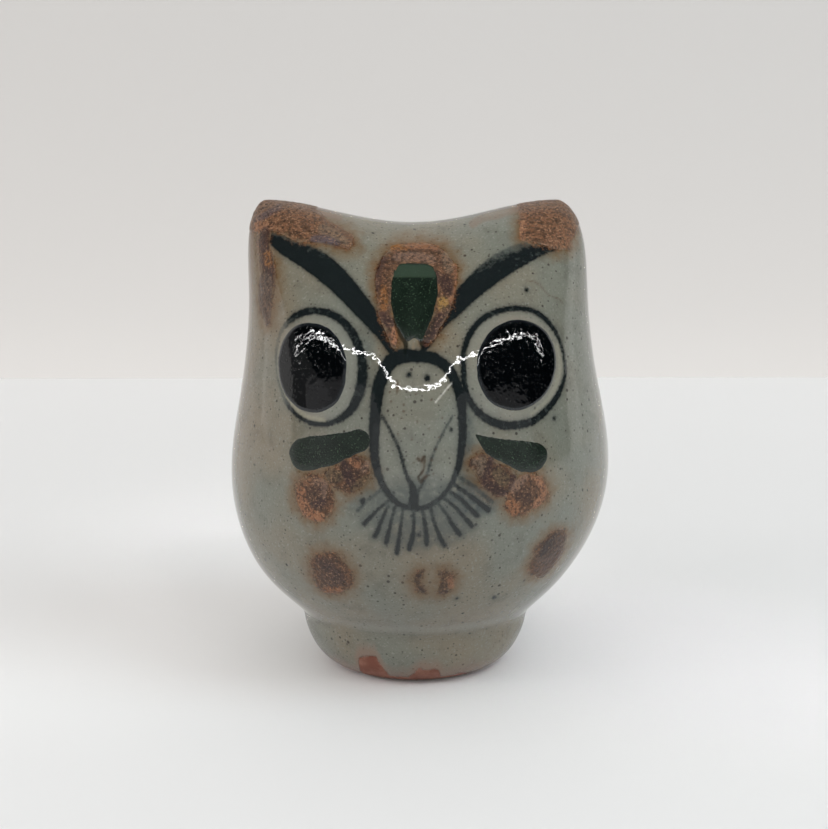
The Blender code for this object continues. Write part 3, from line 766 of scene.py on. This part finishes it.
# --- materials ----------------------------------------------------------------------------
class Nodes:
    """Short names for the nodes that the materials below use."""

    def __init__(self, name):
        self.material = bpy.data.materials.new(name)
        self.material.use_nodes = True
        self.tree = self.material.node_tree
        self.shader = self.tree.nodes["Principled BSDF"]
        self.place = self.new("ShaderNodeTexCoord").outputs["Object"]

    def new(self, kind, **settings):
        node = self.tree.nodes.new(kind)
        for key, value in settings.items():
            setattr(node, key, value)
        return node

    def feed(self, socket, value):
        if isinstance(value, bpy.types.NodeSocket):
            self.tree.links.new(value, socket)
        elif isinstance(value, (tuple, list)) and len(value) == 3 and socket.type == "RGBA":
            socket.default_value = (*value, 1.0)
        else:
            socket.default_value = value

    def attribute(self, name):
        return self.new("ShaderNodeAttribute", attribute_name=name).outputs["Fac"]

    def math(self, operation, a, b, clamp=False):
        node = self.new("ShaderNodeMath", operation=operation, use_clamp=clamp)
        self.feed(node.inputs[0], a)
        self.feed(node.inputs[1], b)
        return node.outputs[0]

    def times(self, a, b):
        return self.math("MULTIPLY", a, b)

    def plus(self, a, b):
        return self.math("ADD", a, b)

    def swing(self, value, amount, centre=0.5):
        """A value's distance from the centre, times an amount."""
        return self.times(self.math("SUBTRACT", value, centre), amount)

    def step(self, value, low, high):
        """Smooth step from low to high; low may be the larger."""
        node = self.new("ShaderNodeMapRange", interpolation_type="SMOOTHSTEP")
        self.feed(node.inputs["Value"], value)
        rising = low < high
        self.feed(node.inputs["From Min"], low if rising else high)
        self.feed(node.inputs["From Max"], high if rising else low)
        self.feed(node.inputs["To Min"], 0.0 if rising else 1.0)
        self.feed(node.inputs["To Max"], 1.0 if rising else 0.0)
        return node.outputs["Result"]

    def texture(self, kind, size_mm, move):
        """A texture node with features about size_mm across, moved so that no two patterns agree."""
        mapping = self.new("ShaderNodeMapping")
        self.feed(mapping.inputs["Vector"], self.place)
        mapping.inputs["Scale"].default_value = [1 / (size_mm * MM)] * 3
        mapping.inputs["Location"].default_value = move
        node = self.new(kind)
        self.feed(node.inputs["Vector"], mapping.outputs["Vector"])
        node.inputs["Scale"].default_value = 1.0
        return node

    def noise(self, size_mm, detail=2.0, roughness=0.5, shift=0.0):
        """Noise 0 to 1."""
        node = self.texture("ShaderNodeTexNoise", size_mm, (shift, shift * 0.7, shift * 1.3))
        node.inputs["Detail"].default_value = detail
        node.inputs["Roughness"].default_value = roughness
        return node.outputs["Fac"]

    def specks(self, cell_mm, radius_mm, share, shift=0.0):
        """Round specks, one in a share of the cells, as a mask 0 to 1."""
        node = self.texture("ShaderNodeTexVoronoi", cell_mm, (shift, shift * 0.6, shift * 1.7))
        colour = self.new("ShaderNodeSeparateColor")
        self.feed(colour.inputs["Color"], node.outputs["Color"])
        chosen = self.math("LESS_THAN", colour.outputs["Red"], share)
        reach = self.times(self.plus(self.times(colour.outputs["Green"], 0.8), 0.45), radius_mm / cell_mm)
        inside = self.math("SUBTRACT", 1.0, self.math("DIVIDE", node.outputs["Distance"], reach))
        return self.times(self.step(inside, 0.0, 0.45), chosen)

    def mix(self, share, first, second):
        """Mix of two colours."""
        node = self.new("ShaderNodeMix", data_type="RGBA")
        self.feed(node.inputs[0], share)
        self.feed(node.inputs[6], first)
        self.feed(node.inputs[7], second)
        return node.outputs[2]

    def tint(self, colour, other, mask, strength):
        """A colour, with a share of another where the mask is 1."""
        return self.mix(self.times(mask, strength), colour, other)

    def blend(self, share, first, second):
        """Mix of two numbers."""
        node = self.new("ShaderNodeMix", data_type="FLOAT")
        self.feed(node.inputs[0], share)
        self.feed(node.inputs[2], first)
        self.feed(node.inputs[3], second)
        return node.outputs[0]

    def bump(self, height, distance_mm, under=None):
        node = self.new("ShaderNodeBump")
        node.inputs["Strength"].default_value = 1.0
        node.inputs["Distance"].default_value = distance_mm * MM
        self.feed(node.inputs["Height"], height)
        if under is not None:
            self.feed(node.inputs["Normal"], under)
        return node.outputs["Normal"]

    def finish(self, colour, roughness, normal=None, specular=0.5):
        self.feed(self.shader.inputs["Base Color"], colour)
        self.feed(self.shader.inputs["Roughness"], roughness)
        self.shader.inputs["Specular IOR Level"].default_value = specular
        if normal is not None:
            self.feed(self.shader.inputs["Normal"], normal)
        return self.material


def linear(red, green, blue):
    """Scene-linear colour from the 0 to 255 values a picture editor shows."""
    def convert(value):
        value /= 255
        return value / 12.92 if value <= 0.04045 else ((value + 0.055) / 1.055) ** 2.4
    return tuple(convert(value) for value in (red, green, blue))


GLAZE_COOL = linear(104, 106, 97)
GLAZE_WARM = linear(112, 104, 89)
GLAZE_DARK = linear(70, 69, 61)
GLAZE_PALE = linear(136, 137, 130)
INK = linear(4, 6, 8)
INK_THIN = linear(44, 52, 52)
INK_WASH = linear(54, 62, 62)
SPECK = linear(38, 32, 28)
STAIN = linear(94, 72, 46)
CLAY_RED = linear(106, 62, 48)
CLAY_PINK = linear(132, 92, 76)
CLAY_ROUGH = linear(112, 66, 50)
TOAST = linear(124, 98, 84)      # glaze over the foot's warm edge
RUST_ORANGE = linear(107, 73, 49)
RUST_BROWN = linear(72, 47, 30)
RUST_CORE = linear(58, 40, 34)
RUST_DARK = linear(36, 24, 20)
RUST_LILAC = linear(152, 118, 90)
GREEN_DEEP = linear(14, 24, 17)
GREEN_PLAIN = linear(22, 33, 25)
GREEN_EDGE = linear(24, 32, 26)
# colour of the painted reflection across the crest's top
GREEN_REFLECTION = linear(48, 62, 50)
GREEN_GRAIN = linear(70, 88, 68)
POOL_EDGE = linear(34, 38, 41)
POOL_BLACK = linear(2, 3, 4)
TINT_COLOURS = {
    "mauve": (108, 88, 74), "slate": (74, 68, 74), "pink": (134, 94, 68), "brown": (88, 62, 44),
    "stone": (104, 90, 74), "maroon": (54, 36, 34), "amber": (128, 82, 34), "dusk": (80, 66, 56),
    "orange": (126, 84, 55), "lilac": (116, 94, 80), "peach": (138, 94, 65), "ochre": (138, 108, 54),
    "pale": (146, 142, 124), "painted_glint": (196, 194, 186), "olive": (84, 70, 50), "umber": (70, 54, 38),
    "dark": (34, 24, 26), "pine": (12, 17, 14), "sand": (112, 102, 84), "bark": (36, 24, 6),
}


def glaze_normal(n):
    """Fine ripple and pinholes of a fired glaze."""
    ripples = n.bump(n.noise(0.45, 1.0), 0.003)
    return n.bump(n.specks(0.8, 0.12, 0.3, shift=5.0), -0.02, under=ripples)


def speckled_glaze(n):
    """Colour of the grey-green glaze with its mottling and iron specks."""
    colour = n.mix(n.step(n.noise(17.0, 2.0), 0.35, 0.7), GLAZE_COOL, GLAZE_WARM)
    colour = n.tint(colour, GLAZE_DARK, n.step(n.noise(3.0, 3.0, shift=3.0), 0.48, 0.8), 0.40)
    colour = n.tint(colour, GLAZE_DARK, n.step(n.noise(0.36, 2.0, 0.7, shift=9.0), 0.52, 0.72), 0.34)
    colour = n.tint(colour, GLAZE_PALE, n.step(n.noise(0.42, 2.0, 0.6, shift=14.0), 0.54, 0.74), 0.42)
    colour = n.tint(colour, SPECK, n.specks(0.75, 0.19, 0.6, shift=2.0), 0.6)
    return n.tint(colour, SPECK, n.specks(1.4, 0.30, 0.5), 0.85)


def rust_edge(n, unevenness):
    """Distance to the rust, made uneven."""
    return n.plus(n.attribute("rust_edge"), n.swing(n.noise(1.8, 4.0, 0.65, shift=4.0), unevenness))


def rust_stain(n, colour):
    """The soft brown stain that iron leaves in the glaze round it."""
    return n.tint(colour, STAIN, n.step(rust_edge(n, 3.4), 2.6, -0.3), 0.85)


def rust_over(n, colour):
    """Iron rust over a colour: brown and orange patches under dark and pale grains."""
    edge, warm = rust_edge(n, 2.6), n.attribute("rust_warm")
    patch = n.plus(n.noise(1.4, 3.0, 0.6, shift=47.0), n.swing(warm, 0.3))
    rust = n.mix(n.step(patch, 0.43, 0.60), RUST_BROWN, RUST_ORANGE)
    core = n.times(n.step(edge, -0.5, -1.9), n.step(warm, 0.66, 0.52))
    rust = n.tint(rust, RUST_CORE, core, 0.65)
    tint = n.new("ShaderNodeAttribute", attribute_name="tint").outputs
    rust = n.mix(tint["Alpha"], rust, tint["Color"])
    pale = n.step(n.noise(0.34, 2.0, 0.6, shift=17.0), 0.55, 0.64)
    rust = n.tint(rust, RUST_LILAC, pale, n.blend(warm, 0.40, 0.90))
    grains = n.math("SUBTRACT", n.noise(0.5, 3.0, 0.75, shift=23.0), n.times(warm, 0.06))
    rust = n.tint(rust, RUST_DARK, n.step(grains, 0.45, 0.55), 0.85)

    rough = n.swing(n.noise(0.42, 3.0, 0.7, shift=41.0), 3.0)
    smear = n.plus(tint["Alpha"], n.times(rough, 0.2))
    colour = n.tint(colour, tint["Color"], n.step(smear, 0.05, 0.85), 0.85)
    return n.tint(colour, rust, n.step(n.plus(edge, rough), 0.6, -0.5), 0.96)


def painted_glaze():
    n = Nodes("painted_glaze")
    # whiter glaze, and the painted reflection above the groove
    colour = n.tint(speckled_glaze(n), GLAZE_PALE, n.attribute("pale"), 0.23)
    wash = n.times(n.attribute("wash"), n.step(n.noise(1.5, 3.0, shift=21.0), 0.15, 0.6))
    colour = rust_stain(n, n.tint(colour, INK_WASH, wash, 0.85))

    edge = n.plus(n.attribute("ink"), n.swing(n.noise(0.6, 4.0, 0.7, shift=7.0), 0.7))
    streak = n.step(n.noise(1.1, 4.0, 0.65, shift=31.0), 0.3, 0.72)
    dark = n.math("ADD", n.attribute("ink_tone"), n.swing(streak, 0.35, centre=0.6), clamp=True)
    ink = n.mix(n.step(dark, 0.25, 0.85), INK_THIN, INK)
    grainy = n.blend(n.step(n.noise(0.5, 3.0, 0.6, shift=35.0), 0.30, 0.50), 0.97, 1.0)
    cover = n.times(n.times(n.step(edge, 0.22, -0.22), grainy), n.blend(n.step(dark, 0.1, 0.8), 0.5, 1.0))
    colour = n.mix(cover, colour, ink)
    colour = n.tint(colour, INK_THIN, n.step(edge, 1.0, -0.1), n.times(dark, 0.30))
    return n.finish(rust_over(n, colour), 0.03, glaze_normal(n))


def plain_glaze():
    n = Nodes("back_glaze")
    return n.finish(rust_over(n, rust_stain(n, speckled_glaze(n))), 0.03, glaze_normal(n))


def clay_colour(n):
    colour = n.mix(n.step(n.noise(2.6, 4.0, 0.6), 0.35, 0.7), CLAY_RED, CLAY_PINK)
    colour = n.tint(colour, CLAY_ROUGH, n.step(n.noise(0.4, 3.0, 0.7, shift=6.0), 0.52, 0.75), 0.4)
    return n.mix(n.specks(1.3, 0.2, 0.2, shift=8.0), colour, SPECK)


def foot_glaze():
    n = Nodes("foot_glaze")
    above = n.plus(n.attribute("bare"), n.swing(n.noise(1.1, 4.0, 0.65, shift=12.0), 2.2))
    glazed = n.step(above, -0.06, 0.06)
    toast = n.step(n.plus(above, n.times(n.noise(7.0, 2.0, shift=2.0), -3.0)), 1.8, -1.2)
    colour = n.mix(glazed, clay_colour(n), n.tint(speckled_glaze(n), TOAST, toast, 0.6))
    grain = n.bump(n.noise(0.5, 4.0, 0.7), 0.06)
    shoulder = n.bump(n.step(above, -0.15, 0.25), 0.14, under=grain)
    return n.finish(colour, n.blend(glazed, 0.78, 0.22), shoulder, specular=0.45)


def bare_clay():
    n = Nodes("bare_clay")
    return n.finish(clay_colour(n), 0.82, n.bump(n.noise(0.5, 4.0, 0.7), 0.07), specular=0.3)


def black_pool():
    n = Nodes("black_pool")
    rim = n.step(n.plus(n.attribute("inside"), n.times(n.noise(0.8, 2.0), 0.5)), 0.1, 0.9)
    normal = n.bump(n.noise(0.5, 1.0, shift=11.0), 0.006)
    normal = n.bump(n.specks(0.46, 0.21, 0.6, shift=19.0), -0.014, under=normal)
    return n.finish(n.mix(rim, POOL_EDGE, POOL_BLACK), 0.03, normal)


def copper_green():
    n = Nodes("copper_green")
    colour = n.mix(n.step(n.noise(2.2, 3.0), 0.35, 0.7), GREEN_DEEP, GREEN_PLAIN)
    colour = n.tint(colour, GREEN_GRAIN, n.step(n.noise(0.3, 1.0, shift=5.0), 0.6, 0.78), 0.55)
    # painted reflection: a paler band across the top of the crest
    colour = n.tint(colour, GREEN_REFLECTION, n.attribute("painted_reflection"), 0.8)
    colour = n.mix(n.step(n.attribute("inside"), 0.45, 0.0), colour, GREEN_EDGE)
    return n.finish(colour, 0.22, n.bump(n.noise(0.35, 2.0), 0.025))


def iron_rust():
    n = Nodes("iron_rust")
    colour = rust_over(n, rust_stain(n, speckled_glaze(n)))
    grain = n.noise(0.42, 3.0, 0.7, shift=41.0)
    return n.finish(colour, n.blend(n.step(grain, 0.4, 0.7), 0.45, 0.28), n.bump(grain, 0.06), specular=0.4)


# --- pieces -------------------------------------------------------------------------------
def column_spacing(points):
    """Mesh spacing round the front in mm: finest over the beak, then the eyes."""
    across = np.abs(points[:, 0])
    return 0.25 + 0.11 * smooth(9.0, 12.0, across) + 0.24 * smooth(24.0, 29.0, across)


def row_spacing(points):
    """Mesh spacing up the body in mm: finest over the beak and eyes."""
    height = points[:, 2]
    return 0.3 + 0.1 * smooth(30.0, 24.0, height) + 0.06 * smooth(66.0, 70.0, height)


def make_half(name, turn, spacing, material, paint, replaced):
    """One glazed half of the body, over a range of plan angles."""
    t_values = even_parameters(lambda t: plain_skin(t, FRONT), FOOT_TOP, CROWN, row_spacing)
    angles = even_parameters(lambda a: plain_skin(BELLY, a), *turn, spacing)
    points, faces, normals, outer_faces = half_skin(t_values, angles)
    mesh = build_mesh(name, points, faces, normals, outer_faces)
    for painter in paint:
        painter(mesh, points)
    show(name, mesh, material, replaced)


def make_foot(material):
    points, faces, normals, outer_faces = foot_skin()
    mesh = build_mesh("foot_glaze", points, faces, normals, outer_faces)
    add_float(mesh, "bare", bare_edge(points))
    show("foot_glaze", mesh, material, ("foot_ring",))


def kind_of(name):
    if name in PUPIL_NAMES:
        return "pupil"
    return "green" if name in GREEN_NAMES else "rust"


def ends_of(values, covered):
    """The first and last covered value, each moved one place outwards."""
    places = np.flatnonzero(covered)
    return values[max(places[0] - 1, 0)], values[min(places[-1] + 1, len(values) - 1)]


def deposit_grid(field, spacing):
    """An even grid of t and angle over the part of the body that a deposit covers."""
    margin, behind = 1.2, 8.0
    t_fine = np.linspace(FOOT_TOP, 2 * CROWN - FOOT_TOP - 6, 500)
    angle_fine = np.linspace(LEFT, RIGHT, 500)
    points = plain_skin(*np.meshgrid(t_fine, angle_fine, indexing="ij"))
    covered = (field(points) < margin) & (points[..., 1] < behind)
    covered &= (points[..., 1] < 0) | (points[..., 2] > BACK_RUST_LOW)
    t_low, t_high = ends_of(t_fine, covered.any(axis=1))
    a_low, a_high = ends_of(angle_fine, covered.any(axis=0))
    t_mid, a_mid = (t_low + t_high) / 2, (a_low + a_high) / 2
    t_values = even_parameters(lambda t: plain_skin(t, a_mid), t_low, t_high, spacing)
    angles = even_parameters(lambda a: plain_skin(min(t_mid, CROWN - 0.8), a), a_low, a_high, spacing)
    return np.meshgrid(t_values, angles, indexing="ij")


def deposit_lift(name, base):
    """Depth inside a deposit's ragged outline, and how far its surface stands off the skin, in mm."""
    kind = kind_of(name)
    rise, shoulder, grain_rise, grain = RELIEF[kind]
    seed = sum(ord(letter) for letter in name)
    wobble = ripple(base, wave_set(14, 1.2, 5.0, EDGE_WOBBLE[kind], seed))
    inside = -(DEPOSIT_FIELDS[name](base) + wobble)
    profile = np.where(inside > 0, rise * np.sqrt(smooth(-0.15 * shoulder, shoulder, inside)), inside * 0.5)
    rough = ripple(base, wave_set(40, grain * 0.6, grain * 1.6, grain_rise * 2.2, seed + 1))
    lift = profile + rough * smooth(-0.2, 0.4, inside)
    return inside, np.where(inside > 0, lift - 0.25 * rise * smooth(0.25, 0.0, inside), lift)


def pad_faces(kept):
    """Faces of a closed pad on a grid, round the cells that have a kept vertex, and the vertices they use.
    The grid's vertices come twice, first for the top and then for the bottom."""
    cell = kept[:-1, :-1] | kept[1:, :-1] | kept[:-1, 1:] | kept[1:, 1:]
    number = np.arange(kept.size).reshape(kept.shape)
    corners = np.stack([number[:-1, :-1], number[:-1, 1:], number[1:, 1:], number[1:, :-1]], axis=-1)[cell]
    edges = dict.fromkeys(edge for a, b, c, d in corners for edge in ((a, b), (b, c), (c, d), (d, a)))
    rim = [edge for edge in edges if (edge[1], edge[0]) not in edges]
    faces = corners.tolist()
    faces += (corners[:, ::-1] + kept.size).tolist()
    faces += [[b, a, a + kept.size, b + kept.size] for a, b in rim]
    used = np.unique(np.concatenate([np.ravel(corners), np.ravel(corners + kept.size)]))
    renumber = np.full(2 * kept.size, -1)
    renumber[used] = np.arange(len(used))
    return [[int(renumber[vertex]) for vertex in face] for face in faces], used


def make_deposit(name, material, slot):
    """Raised glaze or slip: the skin's own surface, lifted inside the outline and sunk outside it."""
    t, angle = deposit_grid(DEPOSIT_FIELDS[name], DEPOSIT_SPACING[kind_of(name)])
    base = skin(t, angle)
    normal = normal_of(skin, t, angle)
    inside, lift = deposit_lift(name, base)
    faces, used = pad_faces(lift > DEPOSIT_END)
    top = base + normal * lift[..., None]
    bottom = base - normal * DEPOSIT_DEPTH
    points = np.vstack([top.reshape(-1, 3), bottom.reshape(-1, 3)])[used]
    mesh = build_mesh(name, points, faces)
    add_float(mesh, "inside", np.tile(inside.ravel(), 2)[used])
    if name in RUST_NAMES:
        paint_rust(mesh, points)
    if name in GREEN_NAMES:
        # the crest's top band is a painted reflection, paler than the rest of the green
        painted_reflection = smooth(70.4, 70.8, points[:, 2]) if name == "crest_green" else np.zeros(len(points))
        add_float(mesh, "painted_reflection", painted_reflection)
    show(name, mesh, material, (name,))


# --- stage --------------------------------------------------------------------------------
CAMERA_AIM = Vector((0.0, 0.0, 40.0))     # point the camera circles, in body mm
CAMERA_DISTANCE = 300.0
CAMERA_HEIGHT = math.radians(11.75)
CAMERA_TILT = math.radians(10.91)         # down from level
CAMERA_PAN = math.radians(0.19)           # to the left
FOCAL_LENGTH = 73.7

GREY_ROOM = (1.0, 0.99, 1.0)
PALE_WALL = (1.0, 0.98, 0.96)
WARM_LIGHT = (1.0, 0.97, 0.94)
SOFT_LIGHTS = (   # not mirrored by the glaze: (name, place, aim, size, watts, colour, spread in degrees)
    ("ceiling", (-0.1, 0.0, 1.2), (-0.1, 0, 0), (2.4, 1.6), 8.3, WARM_LIGHT, 180),
    ("front_sky", (-0.1, -0.95, 0.55), (0, 0, 0.03), (1.6, 0.6), 2.3, WARM_LIGHT, 180),
    ("left_sky", (-0.95, -0.25, 0.32), (0, 0, 0.02), (0.9, 0.5), 2.0, (1.0, 0.92, 0.86), 180),
    ("right_sky", (0.95, -0.35, 0.26), (0, 0, 0.0), (0.9, 0.4), 1.4, (0.90, 0.96, 1.0), 180),
    ("key", (0.6, -0.3, 0.75), (0, 0, 0.06), (0.5, 0.5), 2.6, (0.78, 0.93, 1.0), 180),
    ("left_foot_light", (-0.45, -0.2, 0.22), (-0.036, 0.005, 0), (0.06, 0.06), 0.0038, (1, 1, 1), 10),
    ("right_foot_light", (0.45, -0.2, 0.22), (0.036, 0.005, 0), (0.06, 0.06), 0.0052, (1, 1, 1), 10),
    ("crown_light", (0.12, -0.3, 0.42), (0.006, 0.0, 0.088), (0.06, 0.06), 0.004, (1, 1, 1), 10),
    ("far_table_light", (0.0, 0.34, 0.9), (0, 0.38, 0), (2.4, 0.1), 0.45, (1.0, 0.99, 0.97), 44),
    ("wall_light", (0.0, 0.36, -0.27), (0, 0.5, 0.05), (2.8, 0.15), 8.0, PALE_WALL, 180),
)


def stage_material(name, colour, roughness):
    n = Nodes(name)
    colour = n.tint(colour, tuple(0.85 * part for part in colour), n.noise(60.0, 2.0), 0.05)
    return n.finish(colour, roughness, specular=0.3)


def add_plane(name, corners, material):
    mesh = bpy.data.meshes.new(name)
    mesh.from_pydata(corners, [], [(0, 1, 2, 3)])
    mesh.materials.append(material)
    plane = bpy.data.objects.new(name, mesh)
    bpy.context.scene.collection.objects.link(plane)


def add_area(name, location, target, size, power, colour=(1, 1, 1), glossy=True, spread=180):
    data = bpy.data.lights.new(name, "AREA")
    data.shape = "RECTANGLE"
    data.size, data.size_y = size
    data.energy = power
    data.color = colour
    data.spread = math.radians(spread)
    light = bpy.data.objects.new(name, data)
    light.location = location
    light.rotation_euler = (Vector(target) - Vector(location)).to_track_quat("-Z", "Y").to_euler()
    light.visible_camera = False
    light.visible_glossy = glossy
    bpy.context.scene.collection.objects.link(light)


def make_stage():
    table = stage_material("table_white", (0.76, 0.76, 0.76), 0.55)
    wall = stage_material("wall_white", (0.50, 0.49, 0.48), 0.8)
    half, front, back, slant = 1.6, -1.0, 0.30, 0.02     # the table's far edge runs at a slight slant
    corners = [(-half, front, 0), (half, front, 0), (half, back + slant, 0), (-half, back - slant, 0)]
    add_plane("table", corners, table)
    add_plane("backdrop", [(-2.5, 0.5, -0.6), (2.5, 0.5, -0.6), (2.5, 0.5, 1.6), (-2.5, 0.5, 1.6)], wall)


def panel_power(radiance, size):
    """Watts that give a panel of this size in metres this radiance."""
    return radiance * math.pi * size[0] * size[1]


def make_world():
    settings = bpy.data.worlds.new("studio")
    bpy.context.scene.world = settings
    settings.use_nodes = True
    background = settings.node_tree.nodes["Background"]
    background.inputs["Color"].default_value = (1.0, 0.985, 0.97, 1.0)
    background.inputs["Strength"].default_value = 0.26
    settings.cycles_visibility.glossy = False


def make_mirrored_lights():
    """What the glaze mirrors: a lamp line above a grey room in front, and a pale wall on each side."""
    face = Vector(world((0.0, -24.0, 58.0)))
    # The line of light across eyes and beak mirrors a lamp whose height over its distance is this.
    lamp_rise, lamp_reach, lamp_size = 1.13, 0.34, (3.0, 0.004)
    lamp = face + Vector((0.0, -lamp_reach, lamp_rise * lamp_reach))
    add_area("line_lamp", lamp, face, lamp_size, panel_power(50.0, lamp_size))
    # The lower halves of the black pools mirror the grey room up to this slope.
    room_rise, room_reach = 0.72, 0.80
    room_size = (5.0, room_rise * room_reach + face.z)
    middle = room_size[1] / 2
    add_area("front_room", (0.0, face.y - room_reach, middle), (0.0, 0.0, middle), room_size,
             panel_power(0.36, room_size), GREY_ROOM)
    corner_size = (1.6, 0.7)
    add_area("left_room", (-1.7, -0.45, 0.35), (0.0, 0.0, 0.35), corner_size,
             panel_power(0.18, corner_size), GREY_ROOM)
    wall_size = (1.4, 1.0)
    for name, x, y in (("left_wall", -1.1, 0.54), ("right_wall", 1.1, 0.9)):
        add_area(name, (x, y, 0.5), (0.0, y, 0.5), wall_size, panel_power(0.65, wall_size), PALE_WALL)


def make_lights():
    make_world()
    make_mirrored_lights()
    for name, place, aim, size, watts, colour, spread in SOFT_LIGHTS:
        add_area(name, place, aim, size, watts, colour, glossy=False, spread=spread)


def make_camera():
    data = bpy.data.cameras.new("camera")
    data.sensor_width = 36.0
    data.sensor_fit = "HORIZONTAL"
    data.lens = FOCAL_LENGTH
    data.clip_start = 0.01
    camera = bpy.data.objects.new("camera", data)
    offset = Vector((0.0, -math.cos(CAMERA_HEIGHT), math.sin(CAMERA_HEIGHT))) * CAMERA_DISTANCE
    camera.location = Vector(world(CAMERA_AIM + offset))
    camera.rotation_euler = Euler((math.pi / 2 - CAMERA_TILT, 0.0, CAMERA_PAN))
    bpy.context.scene.collection.objects.link(camera)
    bpy.context.scene.camera = camera


def set_view():
    view = bpy.context.scene.view_settings
    view.view_transform = "Standard"
    view.look = "None"
    view.exposure = 0.0
    view.gamma = 1.0


def main():
    make_half("front_glaze", (LEFT, RIGHT), column_spacing, painted_glaze(), (paint_front, paint_rust),
              ("front_shell", "beak"))
    make_half("back_glaze", (0.0, LEFT), BACK_SPACING, plain_glaze(), (paint_rust,), ("back_shell",))
    make_foot(foot_glaze())
    slab = frame["nodes"]["floor_slab"]
    slab.data.materials.clear()
    slab.data.materials.append(bare_clay())
    finishes = {"pupil": (black_pool(), "black_pool"), "green": (copper_green(), "copper_green"),
                "rust": (iron_rust(), "iron_rust")}
    for name in (*PUPIL_NAMES, *GREEN_NAMES, *RUST_NAMES):
        make_deposit(name, *finishes[kind_of(name)])
    make_stage()
    make_lights()
    make_camera()
    set_view()


main()
